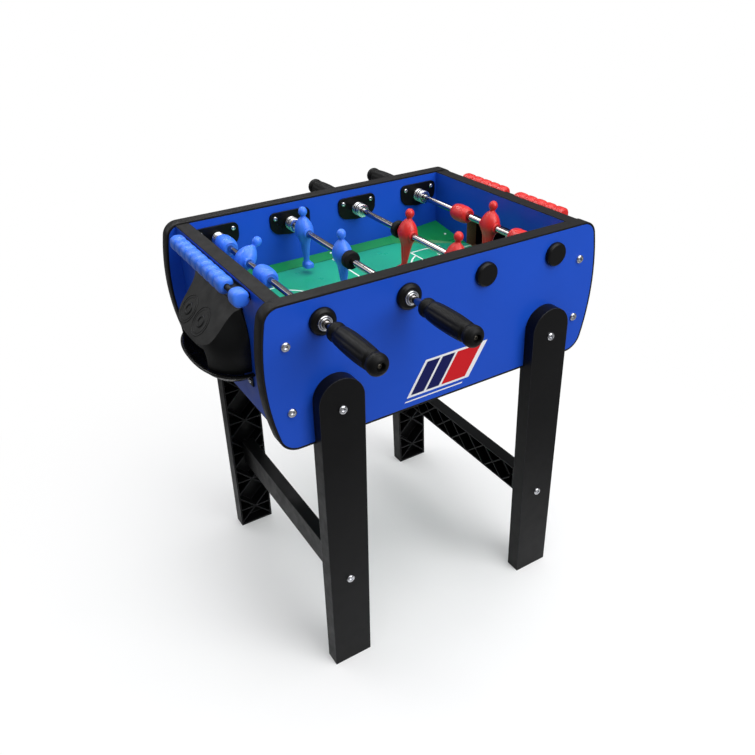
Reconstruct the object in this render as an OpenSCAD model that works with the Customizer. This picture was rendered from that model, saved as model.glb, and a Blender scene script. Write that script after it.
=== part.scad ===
// Free-standing four-rod table football game with telescopic rods.
// X runs along the long side, Y from the front panel to the rear panel, Z up from the floor.

/* [Cabinet] */
// Height of the top edge of the side panels above the floor
top_z = 750; // [740:1:760]
// Height of the side panels
side_h = 250; // [240:1:260]
// Distance between the outer faces of the side panels
cabinet_w = 444; // [440:1:450]
// Thickness of the side panels and end panels
panel_t = 25; // [22:0.5:26]
// Largest half length of a side panel, at its bulge
side_half = 327; // [325:1:330]
// Radius of the gently curved ends of the side panels
bulge_r = 430; // [400:5:460]
// Half distance between the inner faces of the end panels
field_half = 274; // [272:1:276]
// Thickness of the plastic edging
edging_t = 4; // [3:0.5:5]

/* [Playfield] */
// Height of the playing surface
field_z = 622; // [618:1:624]
// Thickness of the playing board
field_t = 8; // [6:1:10]
// Width of the sloping strips along the long walls
ramp_w = 26; // [20:1:30]
// Height of the sloping strips at the wall
ramp_h = 8; // [6:1:10]
// Length of a corner ramp along the long wall
corner_x = 124; // [110:1:130]
// Length of a corner ramp along the end wall
corner_y = 112; // [100:1:112]
// Height of a corner ramp in the corner
corner_h = 18; // [16:1:20]
// Width of the goal opening
goal_w = 170; // [164:1:172]
// Height of the top of the goal opening
goal_top_z = 690; // [686:1:694]
// Height of the sill of the goal opening
goal_sill_z = 614; // [608:1:614]

/* [Rods] */
// Height of the rod axes
rod_z = 708; // [706:1:710]
// Distance between neighbouring rods
rod_pitch = 150; // [150:1:152]
// Radius of the outer tubes
tube_r = 6; // [6:0.5:6.5]
// Radius of the inner rods
core_r = 4; // [4:0.1:4.2]
// Radial running clearance of tubes, inner rods and beads
run_gap = 0.05; // [0.02:0.01:0.09]
// Length of a grip
grip_l = 126; // [122:1:128]
// Largest radius of a grip
grip_r = 18; // [17:0.5:18.5]

/* [Players] */
// Shoulder width of a player
player_w = 43; // [41:1:46]
// Radius of the body around the rod
body_r = 16.5; // [16:0.5:18]
// Distance from the rod axis down to the sole
foot_reach = 73; // [70:0.5:73]
// Radius of the head
head_r = 8.6; // [8:0.1:9.5]
// Height of the centre of the head above the rod
head_z = 38.5; // [37:0.5:39]
// Half length of a headless goal-rod stop
stop_half = 22.5; // [20:0.5:23]

/* [Legs] */
// Width of a leg at the floor
leg_w = 75; // [72:1:78]
// Radius of the round top of a leg
leg_top_r = 40; // [38:0.5:41]
// Height of the centre of the round top
leg_arc_z = 576; // [570:1:580]
// Thickness of a leg where it lies on the side panel
leg_t = 23; // [21:0.5:24]
// How far a leg reaches in under the side panel
leg_step = 7; // [5:0.5:8]
// Distance of a leg's centre line from the middle, at the floor
leg_foot_x = 221.5; // [219:0.5:224]
// Distance of a leg's upper bolt from the middle
leg_bolt_x = 212; // [210:0.5:214]
// Wall thickness of the moulded legs and cross members
leg_wall = 3.5; // [3:0.1:4]

/* [Score counter] */
// Length of one bead with its share of the gap
bead_pitch = 26; // [25:0.1:26]
// Outer radius of a bead
bead_r = 14.5; // [13:0.1:14.5]
// Distance of the rail's bar from the end panel
rail_out = 15.9; // [15.9:0.1:17]
// Height of the rail's bar
rail_z = 736; // [734:1:738]

/* [Ball boxes] */
// Height of the top of a hood
hood_top_z = 700; // [698:1:702]
// How far a hood stands out from the end panel
hood_out = 64; // [62:1:65]
// Largest half length of a hood
hood_half = 120; // [118:1:122]
// Height of the rim of a tray
rim_z = 591; // [589:1:592]
// How far the rim of a tray stands out from the end panel
rim_out = 70; // [69:1:72]
// Half length of the rim of a tray
rim_half = 118; // [116:1:120]
// Height of the underside of a tray
tray_z = 563; // [561:1:565]
// Wall thickness of the hoods and trays
box_t = 3; // [2.5:0.1:3]

/* [Hidden] */
$fn = 64;

eps = 0.01;
blue = [0.17, 0.33, 0.78];
player_blue = [0.35, 0.56, 0.97];
player_red = [0.91, 0.21, 0.18];
green = [0.21, 0.72, 0.56];
black = [0.06, 0.06, 0.07];
steel = [0.8, 0.81, 0.83];

bottom_z = top_z - side_h;
wall_out = cabinet_w / 2;
wall_in = wall_out - panel_t;
end_out = field_half + panel_t;

// Side panel outline: the bulge is one large arc a side, with rounded corners
bulge_z = bottom_z + 140;
bulge_cx = side_half - bulge_r;
corner_top_r = 28;
corner_bottom_r = 35;

// Rods from left to right: sign of the handle side, how far each one rests pulled out, and how
// far its players rest turned, heads towards the opposing goal
rod_x = [-1.5 * rod_pitch, -0.5 * rod_pitch, 0.5 * rod_pitch, 1.5 * rod_pitch];
handle_side = [-1, -1, 1, 1];
pulled = [0, 8, 2, 0];
spun = [43, 0, -8, -9];
spring_end = 169;
short_spring_end = 175.5;
tube_far = 175;
tube_near = -360;
core_near = -20;
grip_start = 259.5;

// Players along their tube, for a tube that is pushed fully in and has its handle at -Y
keeper_y = [65, 0, 0, 47];
stop_spacing = 87;
far_player_y = 143;
near_player_y = -5.5;
bumper_l = 14;
bumper_r = 16;

// Fasteners
bolt_head_r = 6.5;
bolt_head_h = 3.5;
bolt_r = 4;
bolt_hole_r = 4.2;
bolt_z = 562;
cross_z = 205;
screw_x = end_out - panel_t / 2;
screw_z = [571, 684];
screw_shank_r = 3.5;
screw_l = 65;

// Bearings
plate_t = 4;
ear = [31.8, 13.4];
ear_r = 11;
flank = [22, 1];
flank_r = 20.5;
belly_r = 23;
sleeve_r = 10.9;
sleeve_hole_r = 11;

// Cross members between the legs of one end
cross_in = 205;
cross_out = 230;
cross_h = 54;
cross_block = 30;

// ---------- shared helpers ----------

// Stands an XZ outline up and gives it thickness from y = from to y = to
module upright(from, to) {
    translate([0, to, 0]) rotate([90, 0, 0]) linear_extrude(to - from) children();
}

// Turns its children round to the rear when side is 1, and stands them on rod number i
module on_rod(i) {
    translate([rod_x[i], 0, rod_z]) rotate([0, 0, handle_side[i] > 0 ? 180 : 0]) children();
}

// The same, moved with the tube that is pulled out
module on_tube(i) {
    on_rod(i) translate([0, -pulled[i], 0]) children();
}

// Solid of revolution about Y from profile points [radius, y]
module turned(points) {
    rotate([-90, 0, 0]) rotate_extrude() polygon(points);
}

// Round bar along Y
module bar(r, from, to) {
    translate([0, from, 0]) rotate([-90, 0, 0]) cylinder(r = r, h = to - from);
}

// Button head with a hex socket, its flat seat at y = 0 and its dome towards -Y
module button_head(r, h) {
    difference() {
        turned([[0, 0], [r, 0], [r, -0.3 * h], [0.85 * r, -0.7 * h], [0.5 * r, -h], [0, -h]]);
        translate([0, -h - eps, 0]) rotate([-90, 0, 0]) cylinder(r = 0.42 * r, h = 0.6 * h, $fn = 6);
    }
}

function polar(r, a) = [r * cos(a), r * sin(a)];

// ---------- cabinet ----------

module corner_cut(centre, r, from, to) {
    reach = r + 40;
    difference() {
        translate(centre)
            polygon([[0, 0], polar(reach, from), polar(1.5 * reach, (from + to) / 2), polar(reach, to)]);
        translate(centre) circle(r);
    }
}

// XZ outline of a side panel, drawn inside its edge by inset
module side_outline(inset) {
    top_c = [bulge_cx
            + sqrt(pow(bulge_r - corner_top_r, 2) - pow(top_z - corner_top_r - bulge_z, 2)),
        top_z - corner_top_r];
    low_c = [bulge_cx
            + sqrt(pow(bulge_r - corner_bottom_r, 2) - pow(bottom_z + corner_bottom_r - bulge_z, 2)),
        bottom_z + corner_bottom_r];
    top_a = atan2(top_c[1] - bulge_z, top_c[0] - bulge_cx);
    low_a = atan2(low_c[1] - bulge_z, low_c[0] - bulge_cx);
    difference() {
        intersection() {
            translate([-side_half, bottom_z + inset]) square([2 * side_half, side_h - 2 * inset]);
            translate([bulge_cx, bulge_z]) circle(bulge_r - inset, $fn = 200);
            translate([-bulge_cx, bulge_z]) circle(bulge_r - inset, $fn = 200);
        }
        for (m = [0, 1]) mirror([m, 0]) {
            corner_cut(top_c, corner_top_r - inset, top_a, 90);
            corner_cut(low_c, corner_bottom_r - inset, low_a, -90);
        }
    }
}

// Front side panel with its rod, bolt and screw holes
module side_panel() {
    color(blue) difference() {
        upright(-wall_out, -wall_in) side_outline(edging_t);
        for (x = rod_x) translate([x, 0, rod_z]) bar(sleeve_hole_r, -wall_out - 1, -wall_in + 1);
        for (s = [-1, 1]) {
            translate([s * leg_bolt_x, 0, bolt_z]) bar(bolt_hole_r, -wall_out - 1, -wall_in + 1);
            for (z = screw_z) translate([s * screw_x, 0, z])
                bar(screw_shank_r, -wall_out - 1, -wall_in + 1);
        }
    }
}

module front_side_panel() { side_panel(); }

module rear_side_panel() { rotate([0, 0, 180]) side_panel(); }

module side_panel_edging() {
    color(black) for (a = [0, 180]) rotate([0, 0, a])
        upright(-wall_out, -wall_in) difference() {
            side_outline(0);
            side_outline(edging_t);
        }
}

end_bottom_z = bottom_z + 20;
end_top_z = top_z - 4.5;
end_edging_t = 2;

// Left end panel with its goal opening
module end_panel() {
    color(blue) difference() {
        translate([-end_out, -wall_in, end_bottom_z])
            cube([panel_t, 2 * wall_in, end_top_z - end_bottom_z]);
        translate([-end_out - 1, -goal_w / 2, goal_sill_z])
            cube([panel_t + 2, goal_w, goal_top_z - goal_sill_z]);
        for (m = [0, 1], z = screw_z) mirror([0, m, 0]) translate([-screw_x, 0, z])
            bar(screw_shank_r, screw_l - 5 - wall_out, wall_in + eps);
    }
}

module left_end_panel() { end_panel(); }

module right_end_panel() { rotate([0, 0, 180]) end_panel(); }

module end_panel_edging() {
    color(black) for (s = [-1, 1], z = [end_bottom_z - end_edging_t, end_top_z])
        translate([s * screw_x - panel_t / 2, -wall_in, z]) cube([panel_t, 2 * wall_in, end_edging_t]);
}

// ---------- playfield ----------

module playfield() {
    color(green) translate([-field_half, -wall_in, field_z - field_t])
        cube([2 * field_half, 2 * wall_in, field_t]);
}

module side_ramps() {
    half = field_half - corner_x;
    color(green) for (a = [0, 180]) rotate([0, 0, a])
        translate([-half, -wall_in, field_z]) rotate([90, 0, 90])
            linear_extrude(2 * half) polygon([[0, 0], [ramp_w, 0], [0, ramp_h]]);
}

// One corner ramp: its end meets the side ramp's section, and it fades out beside the goal
module corner_ramp() {
    x0 = field_half;
    x1 = field_half - corner_x;
    y0 = wall_in;
    polyhedron(
        points = [[x0, y0, field_z], [x1, y0, field_z], [x1, y0 - ramp_w, field_z],
            [x0, y0 - corner_y, field_z], [x0, y0, field_z + corner_h], [x1, y0, field_z + ramp_h]],
        faces = [[3, 2, 1, 0], [0, 1, 5, 4], [1, 2, 5], [3, 0, 4], [4, 5, 3], [5, 2, 3]]);
}

module corner_ramps() {
    color(green) for (mx = [0, 1], my = [0, 1]) mirror([mx, 0, 0]) mirror([0, my, 0]) corner_ramp();
}

module playfield_battens() {
    batten = 15;
    color([0.75, 0.6, 0.42]) for (s = [0, 1]) mirror([0, s, 0])
        translate([-250, wall_in - batten, field_z - field_t - batten]) cube([500, batten, batten]);
}

// ---------- legs ----------

function leg_x(z) = -leg_foot_x + (leg_foot_x - leg_bolt_x) * z / bolt_z;

// XZ outline of the front left leg, drawn inside its edge by inset
module leg_outline(inset) {
    foot = leg_w / 2 - inset;
    head = leg_top_r - inset;
    polygon([[leg_x(0) - foot, inset], [leg_x(0) + foot, inset],
        [leg_x(leg_arc_z) + head, leg_arc_z], [leg_x(leg_arc_z) - head, leg_arc_z]]);
    translate([leg_x(leg_arc_z), leg_arc_z]) circle(head);
}

module rib(p, q, w) {
    d = q - p;
    translate(p) rotate(atan2(d[1], d[0])) translate([0, -w / 2]) square([norm(d), w]);
}

// Star ribs: each cell has a cross and a level rib through its middle
module leg_ribs() {
    rib_w = 2.4;
    cell = 80;
    half = leg_w / 2 + 3;
    intersection() {
        leg_outline(leg_wall / 2);
        for (k = [0 : 6]) {
            z = leg_wall + k * cell;
            rib([leg_x(z) - half, z], [leg_x(z + cell) + half, z + cell], rib_w);
            rib([leg_x(z) + half, z], [leg_x(z + cell) - half, z + cell], rib_w);
            rib([leg_x(z) - half, z + cell / 2], [leg_x(z) + half, z + cell / 2], rib_w);
        }
    }
}

module leg_section() {
    boss_r = 11;
    difference() {
        union() {
            difference() {
                leg_outline(0);
                leg_outline(leg_wall);
            }
            leg_ribs();
            for (z = [cross_z, bolt_z]) translate([leg_x(z), z]) circle(boss_r);
        }
        for (z = [cross_z, bolt_z]) translate([leg_x(z), z]) circle(bolt_hole_r);
    }
}

module leg() {
    face = wall_out + leg_t;
    ledge_z = bottom_z - 0.1;
    color(black) {
        upright(-face, -face + leg_wall) difference() {
            leg_outline(0);
            for (z = [cross_z, bolt_z]) translate([leg_x(z), z]) circle(bolt_hole_r);
        }
        upright(-face + leg_wall - eps, -wall_out) leg_section();
        upright(-wall_out - eps, -wall_out + leg_step) intersection() {
            leg_section();
            translate([-400, 0]) square([400, ledge_z]);
        }
    }
}

module front_left_leg() { leg(); }

module front_right_leg() { mirror([1, 0, 0]) leg(); }

module rear_left_leg() { mirror([0, 1, 0]) leg(); }

module rear_right_leg() { rotate([0, 0, 180]) leg(); }

// Cross member on the left: a ribbed channel, open towards the middle of the table
module cross_member() {
    half = wall_out - leg_step - 0.1;
    block = cross_block;
    cell = 60;
    pocket = 18;
    low = cross_z - cross_h / 2;
    color(black) difference() {
        union() {
            translate([-cross_out, -half, low]) cube([leg_wall, 2 * half, cross_h]);
            translate([-cross_out + leg_wall - eps, 0, 0]) rotate([90, 0, 90])
                linear_extrude(cross_out - cross_in - leg_wall) {
                    difference() {
                        translate([-half, low]) square([2 * half, cross_h]);
                        translate([-half + block, low + leg_wall])
                            square([2 * (half - block), cross_h - 2 * leg_wall]);
                    }
                    intersection() {
                        translate([-half, low + 1]) square([2 * half, cross_h - 2]);
                        for (k = [-3 : 3]) {
                            rib([(k - 0.5) * cell, low], [(k + 0.5) * cell, low + cross_h], 2.4);
                            rib([(k + 0.5) * cell, low], [(k - 0.5) * cell, low + cross_h], 2.4);
                        }
                    }
                }
        }
        for (m = [0, 1]) mirror([0, m, 0]) {
            translate([leg_x(cross_z), 0, cross_z]) bar(bolt_hole_r, -half - 1, block - half + 1);
            // Pocket that the nut sits in, cut through the crossing ribs
            translate([-cross_out + leg_wall, block - half, cross_z - pocket / 2])
                cube([cross_out, pocket / 2, pocket]);
        }
    }
}

module left_cross_member() { cross_member(); }

module right_cross_member() { rotate([0, 0, 180]) cross_member(); }

// ---------- fasteners ----------

// Bolt standing in from a seat at y = 0 towards +Y
module bolt(r, length) {
    button_head(bolt_head_r, bolt_head_h);
    bar(r, -eps, length);
}

module leg_bolts() {
    upper_l = leg_t + panel_t + 9;
    lower_l = leg_t + leg_step + 37;
    color(steel) for (mx = [0, 1], a = [0, 180]) rotate([0, 0, a]) mirror([mx, 0, 0]) {
        translate([leg_x(bolt_z), -wall_out - leg_t, bolt_z]) bolt(bolt_r, upper_l);
        translate([leg_x(cross_z), -wall_out - leg_t, cross_z]) bolt(bolt_r, lower_l);
    }
}

module hex_nut() {
    rotate([-90, 0, 0]) difference() {
        cylinder(r = 7.5, h = 6.5, $fn = 6);
        translate([0, 0, -1]) cylinder(r = bolt_r, h = 9);
    }
}

module leg_nuts() {
    color(steel) for (mx = [0, 1], a = [0, 180]) rotate([0, 0, a]) mirror([mx, 0, 0]) {
        translate([leg_x(bolt_z), -wall_in, bolt_z]) hex_nut();
        translate([leg_x(cross_z), -wall_out + leg_step + cross_block + 0.6, cross_z]) hex_nut();
    }
}

module end_panel_screws() {
    color(steel) for (mx = [0, 1], a = [0, 180], z = screw_z) rotate([0, 0, a]) mirror([mx, 0, 0])
        translate([-screw_x, -wall_out, z]) bolt(screw_shank_r, screw_l);
}

// ---------- bearings ----------

// Points of the arc about c from angle from down to angle to
function arc(c, r, from, to) = [for (k = [0 : 8]) c + polar(r, from + (to - from) * k / 8)];

// Direction in which circle p of radius rp and circle q of radius rq share a tangent
function tangent(p, rp, q, rq) = let (d = p - q) atan2(d[1], d[0]) - acos((rq - rp) / norm(d));

// Plate outline: flat on top, with screw ears, bulging flanks and a round belly
module plate_outline() {
    high = tangent(ear, ear_r, flank, flank_r);
    low = tangent(flank, flank_r, [0, 0], belly_r);
    right = concat(arc(ear, ear_r, 90, high), arc(flank, flank_r, high, low),
        arc([0, 0], belly_r, low, -90));
    for (m = [0, 1]) mirror([m, 0]) polygon(concat([[-eps, ear[1] + ear_r]], right, [[-eps, -belly_r]]));
}

// Bearing at the front wall: plate inside, sleeve through the panel, bored to bore_r
module bearing(bore_r) {
    color(black) difference() {
        union() {
            upright(-wall_in, -wall_in + plate_t) plate_outline();
            bar(sleeve_r, -wall_out + 0.1, -wall_in + eps);
        }
        bar(bore_r, -wall_out - 1, -wall_in + plate_t + 1);
        for (s = [-1, 1]) translate([s * ear[0], 0, ear[1]])
            bar(2, -wall_in - 1, -wall_in + plate_t + 1);
    }
}

module front_bearing_plates() {
    for (i = [0 : 3]) translate([rod_x[i], 0, rod_z])
        bearing((handle_side[i] < 0 ? tube_r : core_r) + run_gap);
}

module rear_bearing_plates() {
    for (i = [0 : 3]) translate([rod_x[i], 0, rod_z]) mirror([0, 1, 0])
        bearing((handle_side[i] > 0 ? tube_r : core_r) + run_gap);
}

// Pan head screws through the ears; they end flush behind the plate
module bearing_screws() {
    color(steel) for (i = [0 : 3], my = [0, 1], s = [-1, 1]) mirror([0, my, 0])
        translate([rod_x[i] + s * ear[0], -wall_in + plate_t, rod_z + ear[1]]) {
            turned([[0, 0], [4, 0], [3.4, 1.6], [0, 2.2]]);
            bar(2, -plate_t, eps);
        }
}

module handle_bushings() {
    color(black) for (i = [0 : 3]) on_rod(i) translate([0, -wall_out, 0])
        turned([[12.4, 0], [22.2, 0], [22.2, -3], [20.8, -6.5], [17.5, -9], [14, -9.5], [12.4, -8.5]]);
}

module bushing_rings() {
    color(steel) for (i = [0 : 3]) on_rod(i) translate([0, -wall_out, 0])
        turned([[9.3, 0], [12.3, 0], [12.3, -10], [11.5, -11.5], [10.1, -11.5], [9.3, -10.5]]);
}

module axle_caps() {
    color(black) for (i = [0 : 3]) on_rod(i) translate([0, wall_out, 0])
        turned([[0, 0], [21, 0], [21, 4.5], [20, 6.8], [17.5, 8], [0, 8]]);
}

// ---------- springs ----------

spring_r = 11.8;
wire_r = 1.3;
spring_turns = 4;

// Helical spring along Y from y = 0 to y = length
module coil_spring(length) {
    sides = 6;
    steps = 48;
    rise = length - 2 * wire_r;
    ring = [for (k = [0 : steps]) let (a = 360 * spring_turns * k / steps)
        for (j = [0 : sides - 1]) let (b = 360 * j / sides, r = spring_r + wire_r * cos(b))
            [r * cos(a), wire_r + rise * k / steps + wire_r * sin(b), r * sin(a)]];
    walls = [for (k = [0 : steps - 1], j = [0 : sides - 1])
        let (n = (j + 1) % sides, p = k * sides, q = p + sides)
            [p + j, p + n, q + n, q + j]];
    first = [for (j = [0 : sides - 1]) sides - 1 - j];
    last = [for (j = [0 : sides - 1]) steps * sides + j];
    polyhedron(points = ring, faces = concat(walls, [first, last]), convexity = 6);
}

// Springs of the front wall, each ending at its own distance from the middle of the table
module springs(ends) {
    seat = wall_in - plate_t;
    color(steel) for (i = [0 : 3]) translate([rod_x[i], -seat, rod_z]) coil_spring(seat - ends[i]);
}

module front_springs() { springs([for (i = [0 : 3]) spring_end]); }

module rear_springs() {
    rotate([0, 0, 180]) springs([spring_end, spring_end, spring_end, short_spring_end]);
}

// ---------- rods ----------

// Inner rod, held in the bearing opposite the handle
module core(i) {
    color(steel) on_rod(i) bar(core_r, core_near, wall_out - 0.5);
}

module goal_rod_blue_core() { core(0); }

module attack_rod_blue_core() { core(1); }

module attack_rod_red_core() { core(2); }

module goal_rod_red_core() { core(3); }

module tube(i) {
    color(steel) on_tube(i) difference() {
        bar(tube_r, tube_near, tube_far);
        bar(core_r + run_gap, tube_near - 1, tube_far + 1);
    }
}

module goal_rod_blue_tube() { tube(0); }

module attack_rod_blue_tube() { tube(1); }

module attack_rod_red_tube() { tube(2); }

module goal_rod_red_tube() { tube(3); }

// Grip with a collar, a waist behind it, a crowned body, a groove and a round end
module grip(i) {
    waist_r = grip_r - 3.5;
    crown = [for (k = [0 : 8]) let (t = k / 8) [grip_r - 1.6 * pow(2 * t - 1, 2), -22 - 80 * t]];
    end = [for (a = [0 : 15 : 75]) [grip_r - 10.7 + 10 * cos(a), 10 - grip_l - 10 * sin(a)]];
    color(black) on_tube(i) translate([0, -grip_start, 0])
        turned(concat(
            [[tube_r, 0], [13, 0], [15.4, -1.6], [16.3, -5], [15.9, -10], [waist_r, -15],
                [waist_r, -18]],
            crown, [[waist_r, -104], [waist_r, -107], [grip_r - 1.2, -110]], end,
            [[6.4, -grip_l], [6.4, 6 - grip_l], [0, 6 - grip_l], [0, tube_near + grip_start],
                [tube_r, tube_near + grip_start]]));
}

module goal_rod_blue_grip() { grip(0); }

module attack_rod_blue_grip() { grip(1); }

module attack_rod_red_grip() { grip(2); }

module goal_rod_red_grip() { grip(3); }

// ---------- players ----------

// Round body about the rod, bored for the tube; length is 2 * half
module torso(half, r) {
    end_r = 11;
    steps = 10;
    bulge = [for (k = [0 : steps]) let (t = 2 * k / steps - 1)
        [end_r + (r - end_r) * sqrt(1 - pow(t, 4)), half * t]];
    turned(concat([[tube_r, -half]], bulge, [[tube_r, half]]));
}

// Player on a rod along Y, facing +X, with the rod's axis at the origin
module player() {
    leg_top = -11;
    ankle = 11 - foot_reach;
    torso(player_w / 2, body_r);
    difference() {
        union() {
            translate([0, 0, head_z]) sphere(head_r);
            cylinder(r1 = 15, r2 = 4.2, h = head_z - head_r + 3);
            translate([-5, 0, 0]) rotate([90, 0, 90]) linear_extrude(10)
                polygon([[-12, leg_top], [12, leg_top], [6, ankle - 1], [-6, ankle - 1]]);
            translate([-7, -11.5, -foot_reach]) cube([19, 23, foot_reach + ankle]);
        }
        bar(tube_r, -40, 40);
    }
}

module keeper(i) { on_tube(i) translate([0, keeper_y[i], 0]) rotate([0, spun[i], 0]) player(); }

module blue_keeper() { color(player_blue) keeper(0); }

module red_keeper() { color(player_red) keeper(3); }

module stops(i) {
    on_tube(i) for (s = [-1, 1])
        translate([0, keeper_y[i] + s * stop_spacing, 0]) torso(stop_half, body_r + 0.5);
}

module blue_keeper_stops() { color(player_blue) stops(0); }

module red_keeper_stops() { color(player_red) stops(3); }

module players(i) {
    on_tube(i) for (y = [near_player_y, far_player_y])
        translate([0, y, 0]) rotate([0, spun[i], 0]) player();
}

module blue_players() { color(player_blue) players(1); }

module red_players() { color(player_red) players(2); }

// Rubber ring beside the near player, on the handle side
module bumper(i) {
    color(black) on_tube(i) translate([0, near_player_y - player_w / 2 - bumper_l - 0.5, 0])
        turned([[tube_r, 0], [bumper_r - 2, 0], [bumper_r, 2], [bumper_r, bumper_l - 2],
            [bumper_r - 2, bumper_l], [tube_r, bumper_l]]);
}

module blue_bumper() { bumper(1); }

module red_bumper() { bumper(2); }

// ---------- ball boxes ----------

// Plan of a box on the left end: flat against the panel at x = 0, a superellipse outside
module box_plan(out, half) {
    power = 2 / 2.3;
    polygon([for (a = [-90 : 6 : 90])
        [-out * pow(cos(a), power), half * sign(a) * pow(abs(sin(a)), power)]]);
}

// Outline mirrored about x = 0 from the points of its right half, listed from the bottom up
module both_sides(points) {
    last = len(points) - 1;
    polygon(concat(points, [for (k = [0 : last]) [-points[last - k][0], points[last - k][1]]]));
}

hood_low_z = rim_z + 0.5;
lip_z = 632;
mouth_half = 60;

// Outer form of a hood, shrunk by inset on every side but the panel's and the underside
module hood_form(inset) {
    low = hood_low_z - inset;
    top = hood_top_z - inset;
    out = hood_out - inset;
    half = hood_half - inset;
    slope_drop = 1.5 * inset;
    intersection() {
        translate([-end_out, 0, low]) linear_extrude(top - low) box_plan(out, half);
        translate([-end_out - 80, 0, 0]) rotate([90, 0, 90]) linear_extrude(80)
            both_sides([[half - 13, low], [half - 7, lip_z], [half, 672], [half - 5, 689 - inset],
                [half - 15, top]]);
        translate([-end_out, 200, 0]) rotate([90, 0, 0]) linear_extrude(400)
            polygon([[0, low], [0, top], [-4, top - inset / 2], [-62, lip_z + 1 - slope_drop],
                [-hood_out, lip_z - 2 - slope_drop], [-hood_out, low]]);
    }
}

module hood() {
    color(black) {
        difference() {
            hood_form(0);
            hood_form(box_t);
            translate([-end_out - hood_out - 1, -mouth_half, hood_low_z - 2])
                cube([hood_out - 34, 2 * mouth_half, lip_z - 6 - hood_low_z + 2]);
        }
        for (y = [-45, 45]) difference() {
            translate([-end_out - box_t, y - 8, hood_top_z - eps]) cube([box_t, 16, 14]);
            translate([-end_out, y, hood_top_z + 7]) rotate([0, -90, 0])
                cylinder(r = 2.2, h = 20, center = true);
        }
    }
}

module left_ball_hood() { hood(); }

module right_ball_hood() { rotate([0, 0, 180]) hood(); }

tray_screw = [98.5, 571];

// Bowl of a tray, shrunk by inset on every side but the panel's and the top
module bowl_form(inset) {
    top = rim_z + inset;
    low = tray_z + inset;
    out = rim_out - 5 - inset;
    half = rim_half - 8 - inset;
    intersection() {
        translate([-end_out, 0, low]) linear_extrude(top - low) box_plan(out, half);
        translate([-end_out - 80, 0, 0]) rotate([90, 0, 90]) linear_extrude(80)
            both_sides([[half - 42, low], [half - 32, low + 3], [half - 22, low + 9],
                [half - 10, low + 17], [half, low + 26], [half, top]]);
        translate([-end_out, 200, 0]) rotate([90, 0, 0]) linear_extrude(400)
            polygon([[0, top], [0, low], [26 - out, low], [16 - out, low + 2], [6 - out, low + 9],
                [-out, low + 20], [-out, top]]);
    }
}

module tray() {
    rim_t = 4;
    color(black) difference() {
        union() {
            bowl_form(0);
            translate([-end_out, 0, rim_z - rim_t]) linear_extrude(rim_t) box_plan(rim_out, rim_half);
            for (s = [-1, 1]) translate([-end_out - box_t, s * tray_screw[0] - 9, tray_screw[1] - 8])
                cube([box_t, 18, 16]);
        }
        bowl_form(box_t);
        for (s = [-1, 1]) translate([-end_out, s * tray_screw[0], tray_screw[1]])
            rotate([0, -90, 0]) cylinder(r = 2.2, h = 20, center = true);
    }
}

module left_ball_tray() { tray(); }

module right_ball_tray() { rotate([0, 0, 180]) tray(); }

module ball_box_screws() {
    seat = end_out + box_t;
    color(steel) for (a = [0, 180], s = [-1, 1]) rotate([0, 0, a])
        for (p = [[s * 45, hood_top_z + 7], [s * tray_screw[0], tray_screw[1]]])
            translate([-seat, p[0], p[1]]) rotate([0, 0, -90]) {
                turned([[0, 0], [4, 0], [3.4, -1.6], [0, -2.2]]);
                bar(2, -eps, box_t - 0.05);
            }
}

// ---------- score counters ----------

rail_r = 5;
beads = 8;
bead_gap = 0.4;
beads_half = 146;
cap_face_t = 5;
rail_half = beads_half - cap_face_t;
web_t = 3;
bead_l = bead_pitch - bead_gap;
bead_slot = web_t + 0.8;

// Rail on the left end: strip on the panel, web and round bar
module scorer_rail() {
    translate([-end_out - 1, -rail_half, rail_z - 6]) cube([1, 2 * rail_half, 12]);
    translate([-end_out - rail_out, -rail_half, rail_z - web_t / 2])
        cube([rail_out - 0.5, 2 * rail_half, web_t]);
    translate([-end_out - rail_out, 0, rail_z]) bar(rail_r, -rail_half, rail_half);
}

module scorer_rails() {
    color(black) for (a = [0, 180]) rotate([0, 0, a]) scorer_rail();
}

// Solid barrel from y = 0 to y = bead_l with rounded edges
module barrel() {
    turned([[0, 0], [bead_r - 3, 0], [bead_r - 1.2, 1], [bead_r - 0.3, 3], [bead_r, 6],
        [bead_r, bead_l - 6], [bead_r - 0.3, bead_l - 3], [bead_r - 1.2, bead_l - 1],
        [bead_r - 3, bead_l], [0, bead_l]]);
}

// Fixed end caps of the left rail, closed outside and slotted for the web
module rail_caps() {
    depth = bead_l - cap_face_t;
    for (m = [0, 1]) mirror([0, m, 0])
        translate([-end_out - rail_out, beads_half - bead_l, rail_z]) difference() {
            barrel();
            bar(rail_r, -1, depth);
            translate([0, -1, -bead_slot / 2]) cube([bead_r + 1, depth + 1, bead_slot]);
        }
}

module left_rail_caps() { color(player_blue) rail_caps(); }

module right_rail_caps() { color(player_red) rotate([0, 0, 180]) rail_caps(); }

// Beads number first to last of the left rail, counted from the rear cap, moved by shift along Y
module bead_row(first, last, shift) {
    for (k = [first : last])
        let (y = beads_half - (k + 2) * bead_pitch + bead_gap / 2 + shift)
            translate([-end_out - rail_out, y, rail_z]) difference() {
                barrel();
                bar(rail_r + run_gap, -1, bead_l + 1);
                translate([0, -1, -bead_slot / 2]) cube([bead_r + 1, bead_l + 2, bead_slot]);
            }
}

rail_free = 2 * beads_half - (beads + 2) * bead_pitch;

module left_beads() { color(player_blue) bead_row(0, beads - 1, 0); }

module right_beads_waiting() {
    color(player_red) rotate([0, 0, 180]) bead_row(0, beads / 2 - 1, 0);
}

module right_beads_scored() {
    color(player_red) rotate([0, 0, 180]) bead_row(beads / 2, beads - 1, -rail_free);
}

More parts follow.
